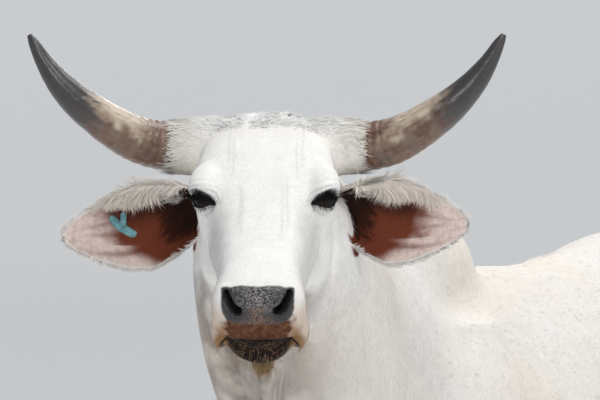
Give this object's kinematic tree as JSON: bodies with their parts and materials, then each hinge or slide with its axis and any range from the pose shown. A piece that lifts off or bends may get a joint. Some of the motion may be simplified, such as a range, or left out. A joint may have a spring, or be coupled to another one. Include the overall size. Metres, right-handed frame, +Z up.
{
  "type": "brahman cow",
  "caption": "Life-size museum-type model of a horned white Brahman cow, standing still with its head turned to its left, a hump, long ears, a dewlap and an ear tag.",
  "frame": {"origin": "on the floor, under the middle of the whole cow", "axes": "+Z up; the cow's body lies along Y and faces -Y, its left side is +X; its head is turned about 26 degrees to its left"},
  "size_m": [0.6686, 2.4684, 1.6724],
  "materials": {
    "coat": "short white and cream hair over skin, dark on the muzzle and round the eyes",
    "horn": "mottled horn, brown and cream at the root and black at the tip",
    "hoof": "dull black horn",
    "eye": "wet black-brown",
    "tag": "worn and dirty teal, blank",
    "switch": "long black hair",
    "udder": "thin pinkish skin"
  },
  "bodies": {
    "root": {"ear_left": "coat", "ear_right": "coat", "ear_tag": "tag", "eye_left": "eye", "eye_right": "eye", "fore_left_claw_inner": "hoof", "fore_left_claw_outer": "hoof", "fore_left_forearm": "coat", "fore_left_shank": "coat", "fore_right_claw_inner": "hoof", "fore_right_claw_outer": "hoof", "fore_right_forearm": "coat", "fore_right_shank": "coat", "head": "coat", "hind_left_claw_inner": "hoof", "hind_left_claw_outer": "hoof", "hind_left_gaskin": "coat", "hind_left_shank": "coat", "hind_right_claw_inner": "hoof", "hind_right_claw_outer": "hoof", "hind_right_gaskin": "coat", "hind_right_shank": "coat", "horn_left": "horn", "horn_right": "horn", "neck": "coat", "tail": "coat", "tail_switch": "switch", "torso": "coat", "udder": "udder"}
  },
  "joints": []
}
